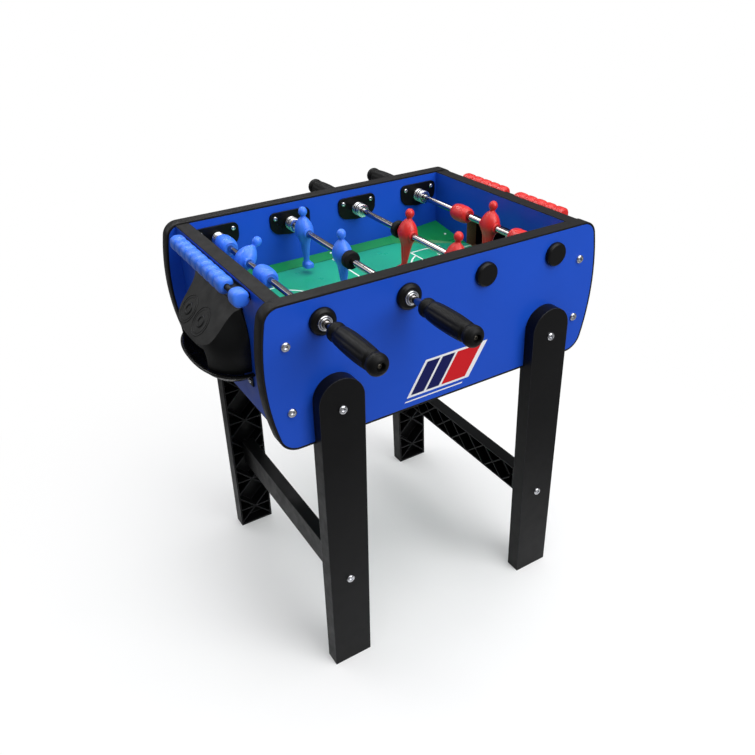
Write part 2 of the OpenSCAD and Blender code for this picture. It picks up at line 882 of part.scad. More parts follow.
front_side_panel();
rear_side_panel();
side_panel_edging();
left_end_panel();
right_end_panel();
end_panel_edging();
playfield();
side_ramps();
corner_ramps();
playfield_battens();
front_left_leg();
front_right_leg();
rear_left_leg();
rear_right_leg();
left_cross_member();
right_cross_member();
leg_bolts();
leg_nuts();
end_panel_screws();
front_bearing_plates();
rear_bearing_plates();
bearing_screws();
handle_bushings();
bushing_rings();
axle_caps();
front_springs();
rear_springs();
goal_rod_blue_core();
attack_rod_blue_core();
attack_rod_red_core();
goal_rod_red_core();
goal_rod_blue_tube();
attack_rod_blue_tube();
attack_rod_red_tube();
goal_rod_red_tube();
goal_rod_blue_grip();
attack_rod_blue_grip();
attack_rod_red_grip();
goal_rod_red_grip();
blue_keeper();
red_keeper();
blue_keeper_stops();
red_keeper_stops();
blue_players();
red_players();
blue_bumper();
red_bumper();
left_ball_hood();
right_ball_hood();
left_ball_tray();
right_ball_tray();
ball_box_screws();
scorer_rails();
left_rail_caps();
right_rail_caps();
left_beads();
right_beads_waiting();
right_beads_scored();
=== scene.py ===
import itertools
import math

import bmesh
import bpy
import numpy as np
from mathutils import Matrix, Vector


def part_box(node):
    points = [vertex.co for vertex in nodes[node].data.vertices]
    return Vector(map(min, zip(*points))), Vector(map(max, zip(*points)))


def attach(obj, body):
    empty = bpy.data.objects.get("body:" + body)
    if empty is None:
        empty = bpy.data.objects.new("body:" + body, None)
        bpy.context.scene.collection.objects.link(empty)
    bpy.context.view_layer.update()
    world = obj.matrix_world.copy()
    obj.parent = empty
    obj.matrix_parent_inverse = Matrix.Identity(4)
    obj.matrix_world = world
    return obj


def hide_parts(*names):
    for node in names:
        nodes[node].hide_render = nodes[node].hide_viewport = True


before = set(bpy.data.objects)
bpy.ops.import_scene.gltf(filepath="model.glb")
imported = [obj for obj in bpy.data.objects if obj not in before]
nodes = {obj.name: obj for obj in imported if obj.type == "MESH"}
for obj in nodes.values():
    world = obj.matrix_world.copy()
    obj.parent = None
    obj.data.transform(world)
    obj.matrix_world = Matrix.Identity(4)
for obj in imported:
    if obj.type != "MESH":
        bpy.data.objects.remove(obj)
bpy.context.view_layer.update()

MM = 0.001
BOTH = (-1, 1)
SIDES = [(-1, "left"), (1, "right")]
scene = bpy.context.scene


# ---------- materials ----------

def srgb(red, green, blue):
    """Linear colour of an sRGB triple from 0 to 255."""
    return [(c / 255 / 12.92) if c < 10.3 else ((c / 255 + 0.055) / 1.055) ** 2.4
            for c in (red, green, blue)] + [1.0]


class NodeTree:
    """Adds nodes to a tree. Inputs are numbers, colours or other nodes' sockets."""

    def __init__(self, owner):
        owner.use_nodes = True
        self.tree = owner.node_tree

    def add(self, kind, values=None, **settings):
        node = self.tree.nodes.new(kind)
        for key, value in settings.items():
            setattr(node, key, value)
        for key, value in (values or {}).items():
            self.put(node.inputs[key], value)
        return node

    def put(self, socket, value):
        if isinstance(value, bpy.types.NodeSocket):
            self.tree.links.new(value, socket)
        else:
            socket.default_value = value


class Shader(NodeTree):
    """The node tree of one material, laid out in the object's own coordinates."""

    def __init__(self, name):
        self.material = bpy.data.materials.new(name)
        super().__init__(self.material)
        self.bsdf = self.tree.nodes["Principled BSDF"]
        self.place = self.add("ShaderNodeTexCoord").outputs["Object"]

    def final(self, **values):
        """Sets the surface's inputs and gives the finished material."""
        for key, value in values.items():
            self.put(self.bsdf.inputs[key.replace("_", " ")], value)
        return self.material

    def math(self, operation, a, b=0.0):
        return self.add("ShaderNodeMath", {0: a, 1: b}, operation=operation).outputs[0]

    def stretched(self, x, y, z):
        return self.add("ShaderNodeMapping", {"Vector": self.place, "Scale": (x, y, z)}).outputs[0]

    def noise(self, scale, detail=3.0, roughness=0.55, place=None):
        values = {"Vector": place or self.place, "Scale": scale, "Detail": detail,
                  "Roughness": roughness}
        return self.add("ShaderNodeTexNoise", values).outputs["Fac"]

    def span(self, value, low, high, from_low=0.3, from_high=0.7):
        """The value's range from_low to from_high, brought to low to high."""
        values = {"Value": value, "From Min": from_low, "From Max": from_high,
                  "To Min": low, "To Max": high}
        return self.add("ShaderNodeMapRange", values).outputs[0]

    def blend(self, factor, a, b):
        node = self.add("ShaderNodeMix", data_type="RGBA")
        self.put(node.inputs[0], factor)
        self.put(node.inputs[6], a)
        self.put(node.inputs[7], b)
        return node.outputs[2]

    def bump(self, height, depth_mm, strength, normal=None):
        values = {"Height": height, "Distance": depth_mm * MM, "Strength": strength}
        if normal is not None:
            values["Normal"] = normal
        return self.add("ShaderNodeBump", values).outputs[0]


# Pale grey painted on rounded edges: a painted highlight standing in for the light caught by them.
EDGE_HIGHLIGHT = srgb(84, 86, 90)
RAW_BOARD, RAW_FIBRE = srgb(96, 74, 50), srgb(139, 113, 82)


def tinted(colour, factor):
    """The colour made darker (below 1) or lighter (above 1)."""
    return [min(1.0, c * factor) for c in colour[:3]] + [1.0]


def plastic(name, colour, rough, mottle=0.05, grain_scale=900.0, grain_mm=0.02, edge_mm=0.0,
            **extra):
    """Moulded plastic: slight colour drift, uneven gloss and a fine grain.

    With edge_mm its edges look rounded to that radius, and are painted paler there as a painted
    highlight.
    """
    s = Shader(name)
    rounded = None
    if edge_mm:
        rounded = s.add("ShaderNodeBevel", {"Radius": edge_mm * MM}, samples=6).outputs[0]
    drift = s.span(s.noise(9.0, 4.0), 0.0, 1.0)
    base = s.blend(drift, tinted(colour, 1 - mottle), tinted(colour, 1 + mottle))
    if edge_mm:
        flat = s.add("ShaderNodeNewGeometry").outputs["Normal"]
        facing = s.add("ShaderNodeVectorMath", {0: rounded, 1: flat}, operation="DOT_PRODUCT")
        # Painted highlight: the base colour turns pale where the rounded normal leans away from the
        # face.
        edge_highlight = s.span(facing.outputs["Value"], 1.0, 0.0, 0.72, 0.985)
        base = s.blend(s.math("MULTIPLY", edge_highlight, 0.55), base, EDGE_HIGHLIGHT)
    gloss = s.span(s.noise(45.0, 5.0), rough * 0.82, rough * 1.2)
    grain = s.bump(s.noise(grain_scale, 2.0), grain_mm, 0.6, rounded)
    wave = s.bump(s.noise(28.0, 2.0), 0.25, 0.12, grain)
    return s.final(Base_Color=base, Roughness=gloss, Normal=wave, **extra)


def laminate(name, colour, raw=None):
    """Satin melamine sheet. raw = (half width, low, high) in metres shows bare board in an opening."""
    s = Shader(name)
    drift = s.span(s.noise(3.5, 5.0), 0.0, 1.0)
    base = s.blend(drift, tinted(colour, 0.94), tinted(colour, 1.05))
    gloss = s.span(s.noise(30.0, 6.0), 0.30, 0.42)
    pebble = s.add("ShaderNodeTexVoronoi", {"Vector": s.place, "Scale": 620.0}).outputs["Distance"]
    normal = s.bump(pebble, 0.03, 0.35)
    if raw:
        half, low, high = raw
        axis = s.add("ShaderNodeSeparateXYZ", {"Vector": s.place}).outputs
        inside = s.math("LESS_THAN", s.math("ABSOLUTE", axis[1]), half)
        inside = s.math("MULTIPLY", inside, s.math("LESS_THAN", axis[2], high))
        inside = s.math("MULTIPLY", inside, s.math("GREATER_THAN", axis[2], low))
        fibre = s.span(s.noise(700.0, 6.0, 0.7), 0.0, 1.0)
        board = s.blend(fibre, RAW_BOARD, RAW_FIBRE)
        base = s.blend(inside, base, board)
        gloss = s.math("MAXIMUM", gloss, s.math("MULTIPLY", inside, 0.85))
    return s.final(Base_Color=base, Roughness=gloss, Normal=normal, Coat_Weight=0.04,
                   Coat_Roughness=0.25, Specular_IOR_Level=0.25)


def metal(name, colour, rough, streak_mm, along=(1, 1, 1), uneven=1.0):
    """Plated metal: fine streaks of that depth, drawn out by the along scale, and uneven gloss."""
    s = Shader(name)
    fine = s.noise(420.0, 4.0, 0.6, s.stretched(*along))
    haze = s.noise(38.0, 5.0)
    gloss = s.math("ADD", s.span(fine, rough * (1 - 0.4 * uneven), rough * (1 + 0.3 * uneven)),
                   s.span(haze, 0.0, rough * 0.5 * uneven))
    base = s.blend(s.span(haze, 0.0, 1.0), tinted(colour, 0.93), tinted(colour, 1.03))
    return s.final(Base_Color=base, Metallic=1.0, Roughness=gloss,
                   Normal=s.bump(fine, streak_mm, 0.35))


def varnished_board(name, colour, light):
    """Printed and varnished playing board."""
    s = Shader(name)
    cloud = s.span(s.noise(6.0, 6.0, 0.6), 0.0, 1.0)
    speck = s.span(s.noise(520.0, 3.0), 0.0, 1.0)
    base = s.blend(cloud, colour, light)
    base = s.blend(s.math("MULTIPLY", speck, 0.12), base, tinted(colour, 0.6))
    return s.final(Base_Color=base, Roughness=s.span(s.noise(24.0, 5.0), 0.26, 0.38),
                   Normal=s.bump(s.noise(300.0, 3.0), 0.03, 0.5), Coat_Weight=0.25,
                   Coat_Roughness=0.2)


def timber(name):
    s = Shader(name)
    rings = s.noise(60.0, 6.0, 0.6, s.stretched(0.06, 1.0, 1.0))
    fine = s.noise(500.0, 4.0, 0.6, s.stretched(0.04, 1.0, 1.0))
    base = s.blend(s.span(rings, 0.0, 1.0), srgb(201, 164, 112), srgb(168, 124, 74))
    base = s.blend(s.math("MULTIPLY", s.span(fine, 0.0, 1.0), 0.3), base, srgb(128, 88, 50))
    return s.final(Base_Color=base, Roughness=0.6, Normal=s.bump(fine, 0.08, 0.5))


BLUE = srgb(24, 78, 196)
GOAL_OPENING = (0.0856, 0.6135, 0.6905)
# plastic(name, colour, roughness, mottle, grain scale, grain depth in mm, edge radius in mm)
# metal(name, colour, roughness, streak depth in mm, streak scale, unevenness)
LOOKS = {
    "blue_panel": laminate("blue_laminate", BLUE),
    "blue_end_panel": laminate("blue_laminate_open", BLUE, GOAL_OPENING),
    "black_edging": plastic("black_edge_band", srgb(25, 24, 24), 0.44, 0.08, 700.0, 0.02,
                            Specular_IOR_Level=0.16),
    "pitch": varnished_board("pitch_green", srgb(34, 168, 124), srgb(44, 182, 138)),
    "pitch_ramp": varnished_board("ramp_green", srgb(8, 132, 60), srgb(14, 144, 70)),
    "pitch_line": plastic("pitch_white", srgb(236, 244, 238), 0.45, 0.03),
    "batten": timber("pine_batten"),
    # The 2 mm edge also paints a pale highlight along the legs' rounded edges.
    "black_moulded": plastic("black_leg_plastic", srgb(13, 13, 14), 0.38, 0.2, 420.0, 0.08, 2.0,
                             Specular_IOR_Level=0.15),
    "black_box": plastic("black_box_plastic", srgb(15, 16, 16), 0.40, 0.15, 520.0, 0.05,
                         Specular_IOR_Level=0.26),
    "black_bowl": plastic("black_bowl_plastic", srgb(9, 9, 9), 0.26, 0.15, 520.0, 0.03,
                          Specular_IOR_Level=0.2),
    "black_bearing": plastic("black_bearing_plastic", srgb(10, 10, 11), 0.33, 0.15, 800.0, 0.02,
                             Specular_IOR_Level=0.2),
    "bright_steel": metal("bright_steel", srgb(212, 213, 217), 0.17, 0.01),
    "nut_steel": metal("zinc_steel", srgb(190, 190, 186), 0.30, 0.02),
    "spring_steel": metal("spring_steel", srgb(226, 226, 226), 0.20, 0.0),
    "rod_chrome": metal("rod_chrome", srgb(172, 166, 163), 0.10, 0.0, (1.0, 0.02, 1.0), 0.1),
    "grip_rubber": plastic("black_grip", srgb(12, 12, 12), 0.44, 0.12, 650.0, 0.05,
                           Specular_IOR_Level=0.16),
    "bumper_rubber": plastic("black_rubber", srgb(12, 12, 12), 0.6, 0.15, 500.0, 0.06,
                             Specular_IOR_Level=0.2),
    "player_blue": plastic("blue_player", srgb(60, 122, 240), 0.34, 0.05, 600.0, 0.03,
                           Subsurface_Weight=0.08, Subsurface_Scale=0.004),
    "player_red": plastic("red_player", srgb(208, 38, 34), 0.34, 0.05, 600.0, 0.03,
                          Subsurface_Weight=0.08, Subsurface_Scale=0.004),
    # Darkened metal: painted shade of the recess at the grip's end.
    "screw_recess_shade": metal("screw_painted_recess_shade", srgb(104, 100, 92), 0.30, 0.01),
    # Painted shade for the gap along the ramps' inner edges.
    "gap_shade_green": plastic("gap_shade_green", srgb(8, 74, 44), 0.5, 0.05),
    "decal_white": plastic("decal_white", srgb(238, 238, 240), 0.3, 0.02),
    "decal_red": plastic("decal_red", srgb(204, 26, 34), 0.4, 0.03, Specular_IOR_Level=0.2),
    "decal_navy": plastic("decal_navy", srgb(14, 20, 84), 0.4, 0.03, Specular_IOR_Level=0.2),
}


# ---------- carried-over CAD nodes ----------

def soften(obj, width_mm, segments, least_degrees, harden=False):
    """Rounds the edges that are sharper than least_degrees."""
    bevel = obj.modifiers.new("soft_edges", "BEVEL")
    bevel.width = width_mm * MM
    bevel.segments = segments
    bevel.limit_method = "ANGLE"
    bevel.angle_limit = math.radians(least_degrees)
    bevel.harden_normals = harden


def dress(node, look, edge_mm):
    """Gives a CAD node its look, and rounds its edges if edge_mm isn't 0."""
    obj = nodes[node]
    obj.data.materials.clear()
    obj.data.materials.append(LOOKS[look])
    if edge_mm:
        weld = obj.modifiers.new("weld", "WELD")
        weld.merge_threshold = 0.01 * MM
        soften(obj, edge_mm, 2, 32, harden=True)


# Look, edge radius in mm, CAD nodes
DRESSED = [
    ("blue_panel", 0.5, ["front_side_panel", "rear_side_panel"]),
    ("blue_end_panel", 0.4, ["left_end_panel", "right_end_panel"]),
    ("black_edging", 0.9, ["side_panel_edging", "end_panel_edging"]),
    ("pitch", 0.3, ["playfield"]),
    ("pitch_ramp", 0.3, ["side_ramps", "corner_ramps"]),
    ("batten", 0.8, ["playfield_battens"]),
    ("black_moulded", 0.0, ["front_left_leg", "front_right_leg", "rear_left_leg", "rear_right_leg",
                            "left_cross_member", "right_cross_member"]),
    ("bright_steel", 0.25, ["bushing_rings"]),
    ("nut_steel", 0.3, ["leg_nuts"]),
    ("black_bearing", 0.6, ["front_bearing_plates", "rear_bearing_plates", "handle_bushings",
                            "axle_caps", "scorer_rails"]),
    ("bumper_rubber", 0.4, ["blue_bumper", "red_bumper"]),
    ("bright_steel", 0.2, ["ball_box_screws"]),
    ("rod_chrome", 0.0, [f"{rod}_{part}" for rod in ("goal_rod_blue", "attack_rod_blue",
                                                     "attack_rod_red", "goal_rod_red")
                         for part in ("core", "tube")]),
]
for look, edge_mm, names in DRESSED:
    for name in names:
        dress(name, look, edge_mm)


# ---------- mesh helpers ----------

def skin(rings, close_first=True, close_last=True):
    """Vertices and faces of a surface over closed rings that all have the same number of points."""
    count = len(rings[0])
    verts = [p for ring in rings for p in ring]
    faces = []
    for r in range(len(rings) - 1):
        for k in range(count):
            n = (k + 1) % count
            a, b = r * count, (r + 1) * count
            faces.append((a + k, a + n, b + n, b + k))
    if close_first:
        faces.append(tuple(reversed(range(count))))
    if close_last:
        faces.append(tuple(range(len(verts) - count, len(verts))))
    return verts, faces


def joined(parts):
    """One vertex and face list from several."""
    verts, faces = [], []
    for v, f in parts:
        start = len(verts)
        verts += list(v)
        faces += [tuple(i + start for i in face) for face in f]
    return verts, faces


def make_piece(name, shape, body, look, replaces=(), smooth=True, crease=35):
    """A new piece from (vertices in metres, faces), shaded sharp at edges above crease degrees."""
    mesh = bpy.data.meshes.new(name)
    mesh.from_pydata([tuple(v) for v in shape[0]], [], shape[1])
    mesh.validate()
    bm = bmesh.new()
    bm.from_mesh(mesh)
    bmesh.ops.recalc_face_normals(bm, faces=bm.faces)
    bm.to_mesh(mesh)
    bm.free()
    mesh.polygons.foreach_set("use_smooth", [smooth] * len(mesh.polygons))
    if smooth:
        mesh.set_sharp_from_angle(angle=math.radians(crease))
    mesh.materials.append(LOOKS[look])
    obj = bpy.data.objects.new(name, mesh)
    scene.collection.objects.link(obj)
    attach(obj, body)
    for node in replaces:
        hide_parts(node)
    return obj


def turned(profile, segments=64, ripple=None):
    """Surface of revolution about Y from (radius, y) points in mm, both ends closed if not at 0."""
    rings = []
    for radius, y in profile:
        ring = []
        for k in range(segments):
            a = 2 * math.pi * k / segments
            r = max(radius, 0.02) * (ripple(a, y) if ripple else 1.0)
            ring.append(Vector((r * math.cos(a), y, r * math.sin(a))))
        rings.append(ring)
    return skin(rings)


def band(loop, segments):
    """Ring about Y whose section is a closed loop of (radius, y) points in mm."""
    verts, faces = [], []
    count = len(loop) - 1
    for k in range(segments):
        a = 2 * math.pi * k / segments
        verts += [Vector((r * math.cos(a), y, r * math.sin(a))) for r, y in loop[:-1]]
        for j in range(count):
            p, q = k * count, (k + 1) % segments * count
            n = (j + 1) % count
            faces.append((p + j, q + j, q + n, p + n))
    return verts, faces


def spline(keys, steps):
    """Rows between the key rows, on a smooth curve through them."""
    keys = np.array(keys, float)
    padded = np.vstack([keys[0], keys, keys[-1]])
    rows = []
    for i in range(1, len(padded) - 2):
        p0, p1, p2, p3 = padded[i - 1:i + 3]
        for s in range(steps):
            t = s / steps
            rows.append(0.5 * (2 * p1 + (p2 - p0) * t + (2 * p0 - 5 * p1 + 4 * p2 - p3) * t ** 2
                               + (3 * p1 - p0 - 3 * p2 + p3) * t ** 3))
    rows.append(keys[-1])
    return rows


def set_at(shape, at, way):
    """A shape about Y in mm, its origin brought to a point in metres, its +Y end towards way * Y."""
    x, y, z = at
    return [Vector((x + v.x * MM, y + way * v.y * MM, z + v.z * MM)) for v in shape[0]], shape[1]


# ---------- rods ----------

TUBE_REACH = 175.0  # from a rod's origin to the inner end of its tube, in mm


class Rod:
    """One rod of the table: where its local origin is, and which way it faces."""

    def __init__(self, body):
        low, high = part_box(body + "_tube")
        self.turn = 1 if "blue" in body else -1
        far_end = high.y if self.turn > 0 else low.y
        self.origin = Vector(((low.x + high.x) / 2, far_end - self.turn * TUBE_REACH * MM,
                              (low.z + high.z) / 2))

    def ends(self, node):
        """Where the low and high end of a node's box are along the rod, in mm from its origin."""
        return sorted(self.turn * (v.y - self.origin.y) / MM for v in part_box(node))

    def put(self, shape, y=0.0):
        """A local shape in mm, moved y mm along the rod, in the row frame in metres."""
        t = self.turn
        o = self.origin
        return [Vector((o.x + t * v[0] * MM, o.y + t * (v[1] + y) * MM, o.z + v[2] * MM))
                for v in shape[0]], shape[1]


RODS = {body: Rod(body) for body in ("goal_rod_blue", "attack_rod_blue", "attack_rod_red",
                                     "goal_rod_red")}


# ---------- players ----------

# Rows: height, centre x, half depth, half width, squareness
FIGURE = [
    (-73.0, 2.5, 9.0, 11.0, 3.6),
    (-72.3, 2.5, 9.5, 11.5, 3.6),
    (-68.0, 2.5, 9.4, 11.5, 3.4),
    (-64.5, 2.2, 8.7, 11.0, 3.2),
    (-62.0, 0.8, 6.4, 8.4, 2.8),
    (-58.5, 0.0, 5.0, 6.2, 2.4),
    (-50.0, 0.0, 5.3, 7.7, 2.3),
    (-40.0, 0.0, 6.3, 9.6, 2.3),
    (-30.0, 0.0, 7.4, 11.2, 2.3),
    (-22.0, 0.0, 8.8, 12.6, 2.2),
    (-17.5, 0.0, 10.2, 13.8, 2.2),
    (-13.5, 0.0, 12.2, 15.0, 2.2),
    (-9.0, 0.0, 14.4, 16.9, 2.3),
    (-4.0, 0.0, 15.9, 18.6, 2.4),
    (1.0, 0.0, 16.3, 19.4, 2.5),
    (6.0, 0.0, 16.0, 19.3, 2.4),
    (11.0, 0.0, 15.0, 18.4, 2.3),
    (16.0, 0.0, 13.2, 16.4, 2.2),
    (20.5, 0.0, 10.8, 13.4, 2.1),
    (24.0, 0.0, 8.1, 10.4, 2.0),
    (26.6, 0.0, 5.8, 6.8, 2.0),
    (28.8, 0.0, 4.7, 4.9, 2.0),
    (30.4, 0.0, 5.2, 5.2, 2.0),
]
HEAD_Z, HEAD_R, HEAD_H, NECK_Z = 37.9, 8.3, 9.1, 31.0
PLAYER_HALF = 21.5
STOP_HALF, STOP_R, STOP_END_R = 22.5, 17.0, 11.0
# Degrees that each rod's players rest turned about the rod
SPUN = {"goal_rod_blue": 43, "attack_rod_blue": 0, "attack_rod_red": -8, "goal_rod_red": -9}


def squared(t, power):
    """A sine or cosine bent so that a circle of them turns into a rounded square."""
    return math.copysign(abs(t) ** (2.0 / power), t)


def bump_at(value, centre, width):
    """Smooth hump that is 1 at the centre and dies away over the width."""
    return math.exp(-((value - centre) / width) ** 2)


def figure():
    """Player about the rod's axis, facing +X, in mm."""
    segments = 64
    rings = []
    for z, cx, depth, width, power in spline(FIGURE, 4):
        legs = 0.30 * bump_at(z, -38.0, 16.0)
        arms = 0.06 * bump_at(z, 1.0, 10.0)
        ring = []
        for k in range(segments):
            a = 2 * math.pi * k / segments
            x = depth * squared(math.cos(a), power)
            y = width * squared(math.sin(a), power)
            x *= 1 - legs * bump_at(y, 0.0, 1.8) - arms * bump_at(abs(y), 14.5, 1.3)
            ring.append((cx + x, y, z))
        rings.append(ring)
    neck = math.asin((NECK_Z - HEAD_Z) / HEAD_H)
    for s in range(1, 15):
        a = neck + (math.pi / 2 - neck) * s / 14.2
        r = HEAD_R * math.cos(a)
        rings.append([(r * math.cos(2 * math.pi * k / segments),
                       r * math.sin(2 * math.pi * k / segments),
                       HEAD_Z + HEAD_H * math.sin(a)) for k in range(segments)])
    return skin(rings)


def torso_stop():
    """Headless torso that stops a goal rod, about the rod's axis, in mm."""
    steps = 36
    collar = [(6.2, STOP_HALF - 1.2), (9.5, STOP_HALF - 1.0), (STOP_END_R, STOP_HALF - 0.2)]
    profile = [(r, -y) for r, y in collar]
    for k in range(steps + 1):
        t = 2 * k / steps - 1
        r = STOP_END_R + (STOP_R - STOP_END_R) * math.sqrt(max(0.0, 1 - abs(t) ** 3.2))
        r -= 0.7 * bump_at(abs(t) * STOP_HALF, 14.5, 1.4)
        profile.append((r, STOP_HALF * t * 0.995))
    profile += reversed(collar)
    return turned(profile, 64, lambda a, y: 1 - 0.03 * abs(math.sin(a)) ** 6)


def side_collar(sign):
    """Ring moulded round the rod at the side of a player, in mm."""
    y = PLAYER_HALF * sign
    return turned([(6.1, y - sign * 3), (9.6, y - sign * 3), (9.6, y - sign * 0.6),
                   (9.0, y), (6.9, y), (6.1, y - sign * 0.8)], 48)


def leaning(shape, degrees):
    """The shape turned about the rod's axis."""
    lean = Matrix.Rotation(math.radians(degrees), 3, "Y")
    return [lean @ Vector(v) for v in shape[0]], shape[1]


man = joined([figure(), side_collar(-1), side_collar(1)])
for team in ("blue", "red"):
    goal_rod, attack_rod, look = f"goal_rod_{team}", f"attack_rod_{team}", f"player_{team}"
    goal, attack = RODS[goal_rod], RODS[attack_rod]
    keeper, player = leaning(man, SPUN[goal_rod]), leaning(man, SPUN[attack_rod])
    make_piece(f"{team}_goalkeeper", goal.put(keeper, sum(goal.ends(f"{team}_keeper")) / 2),
               goal_rod, look, replaces=[f"{team}_keeper"], crease=60)
    near, far = goal.ends(f"{team}_keeper_stops")
    for place, y in (("near", near + STOP_HALF), ("far", far - STOP_HALF)):
        make_piece(f"{team}_stop_{place}", goal.put(torso_stop(), y), goal_rod, look,
                   replaces=[f"{team}_keeper_stops"], crease=50)
    near, far = attack.ends(f"{team}_players")
    for place, y in (("near", near + PLAYER_HALF), ("far", far - PLAYER_HALF)):
        make_piece(f"{team}_player_{place}", attack.put(player, y), attack_rod, look,
                   replaces=[f"{team}_players"], crease=60)


# ---------- grips ----------

GRIP_START, GRIP_LENGTH, GRIP_BODY_R, KNOB_R, KNOB_ROUND = -259.5, 126.0, 17.4, 16.6, 10
FLUTES, FLUTE_DEPTH = 10, 0.045
HANDLE_SCREW_R, HANDLE_SCREW_H, HANDLE_SCREW_IN = 3.9, 2.2, 5.9


def grip_shape():
    """Grip with a collar, a waist, a crowned fluted body, a groove and a round end, in mm."""
    profile = [(6.2, 0.0), (10.8, 0.0), (13.0, -0.5), (14.6, -1.8), (15.3, -3.8), (15.5, -6.4),
               (15.2, -9.0), (13.9, -11.2), (12.9, -13.2), (12.7, -15.4), (13.6, -18.2)]
    body_from, body_to = -21.0, -102.0
    for k in range(25):
        t = k / 24
        crown = GRIP_BODY_R - 1.7 * abs(2 * t - 1) ** 2.4
        profile.append((crown, body_from + (body_to - body_from) * t))
    profile += [(14.0, -103.2), (13.3, -104.2), (13.3, -106.2), (14.1, -107.4), (15.6, -109.0),
                (16.3, -112.0)]
    for k in range(11):
        a = math.radians(80 * k / 10)
        profile.append((KNOB_R - KNOB_ROUND + KNOB_ROUND * math.cos(a),
                        KNOB_ROUND - GRIP_LENGTH - 0.995 * KNOB_ROUND * math.sin(a)))
    profile += [(6.9, -GRIP_LENGTH + 0.1), (6.4, -GRIP_LENGTH + 0.8), (6.2, -GRIP_LENGTH + 6)]

    def flutes(a, y):
        inside = min(1.0, max(0.0, (body_from - y) / 9)) * min(1.0, max(0.0, (y - body_to) / 9))
        return 1 - FLUTE_DEPTH * inside * (0.5 + 0.5 * math.cos(FLUTES * a)) ** 2

    return turned(profile, 120, flutes)


def socket_head(radius, height):
    """Screw head with a six-sided socket, seat at y = 0 and dome towards -Y, in mm."""
    segments = 48
    hex_r = 0.46 * radius

    def hex_edge(a):
        sector = math.pi / 3
        return hex_r * math.cos(sector / 2) / math.cos((a % sector) - sector / 2)

    # Radius as a share of the head's or of the socket's, y, whether the row belongs to the socket
    rows = [(radius, 0.0, 0), (radius, -0.35 * height, 0), (0.93 * radius, -0.68 * height, 0),
            (0.80 * radius, -0.90 * height, 0), (0.64 * radius, -height, 0),
            (1.0, -height, 1), (0.96, -0.94 * height, 1), (0.94, -0.25 * height, 1)]
    rings = []
    for r, y, is_hex in rows:
        ring = []
        for k in range(segments):
            a = 2 * math.pi * k / segments
            edge = r * hex_edge(a) if is_hex else r
            ring.append(Vector((edge * math.cos(a), y, edge * math.sin(a))))
        rings.append(ring)
    return skin(rings)


for body, rod in RODS.items():
    make_piece(f"{body}_handle", rod.put(grip_shape(), GRIP_START), body, "grip_rubber",
               replaces=[f"{body}_grip"], crease=50)
    # The handle screw's darker metal is painted shade of the recess it sits in.
    screw = socket_head(HANDLE_SCREW_R, HANDLE_SCREW_H)
    make_piece(f"{body}_handle_screw", rod.put(screw, GRIP_START - GRIP_LENGTH + HANDLE_SCREW_IN),
               body, "screw_recess_shade", crease=30)


# ---------- bearing lips ----------

# Loop of (radius, y) points in mm, sunk into the face of the bushing ring
LIP = [(6.5, 0.0), (8.9, 0.0), (9.3, -0.5), (9.3, -1.6), (8.8, -2.2), (7.2, -2.2), (6.5, -1.4),
       (6.5, 0.0)]
LIP_SUNK = 0.7
ring_low, ring_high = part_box("bushing_rings")
lips = []
for rod in RODS.values():
    face = ring_low.y if rod.turn > 0 else -ring_high.y
    at = (rod.origin.x, rod.turn * (face + LIP_SUNK * MM), rod.origin.z)
    lips.append(set_at(band(LIP, 48), at, rod.turn))
make_piece("bearing_lips", joined(lips), "cabinet", "bright_steel", crease=40)


# ---------- bolts and panel screws ----------

# The photo shows a wider head than the CAD node's
HEAD_SHOWN_R, HEAD_SHOWN_H, CAD_HEAD_H = 7.7, 3.9, 3.5
TIP_SLICE = 0.2


def bolts_of(node):
    """Each bolt of a CAD node, re-made with a wider head, in metres.

    The node has one bolt in each corner of the table, at each of two heights.
    """
    points = np.array([v.co for v in nodes[node].data.vertices])
    points_z = points[:, 2] - (points[:, 2].min() + points[:, 2].max()) / 2
    shapes = []
    for sx, sy, sz in itertools.product(BOTH, repeat=3):
        own = points[(points[:, 0] * sx > 0) & (points[:, 1] * sy > 0) & (points_z * sz > 0)]
        depth = own[:, 1] * sy
        tip = own[depth < depth.min() + TIP_SLICE * MM]
        seat = depth.max() - CAD_HEAD_H * MM
        centre = (tip.min(axis=0) + tip.max(axis=0)) / 2
        shank_r = (tip[:, 0].max() - tip[:, 0].min()) / 2 / MM
        long = (seat - depth.min()) / MM
        shank = turned([(shank_r, -1.0), (shank_r, long - 0.6), (shank_r - 0.6, long)], 32)
        bolt = joined([socket_head(HEAD_SHOWN_R, HEAD_SHOWN_H), shank])
        shapes.append(set_at(bolt, (centre[0], sy * seat, centre[2]), -sy))
    return joined(shapes)


for node in ("leg_bolts", "end_panel_screws"):
    make_piece(f"{node}_round_head", bolts_of(node), "cabinet", "bright_steel", replaces=[node],
               crease=30)


# ---------- springs ----------

def coil(length, mean_r, wire_r, turns):
    """Spring along +Y from y = 0, with closed end turns, in mm."""
    around, steps, closing = 12, int(28 * turns), 0.088
    rise = length - 2 * wire_r
    rings = []
    for k in range(steps + 1):
        u = k / steps
        eased = u - closing * math.sin(2 * math.pi * u)
        a = 2 * math.pi * turns * u
        ring = []
        for j in range(around):
            b = 2 * math.pi * j / around
            r = mean_r + wire_r * math.cos(b)
            ring.append(Vector((r * math.cos(a), wire_r + rise * eased + wire_r * math.sin(b),
                                r * math.sin(a))))
        rings.append(ring)
    return skin(rings)


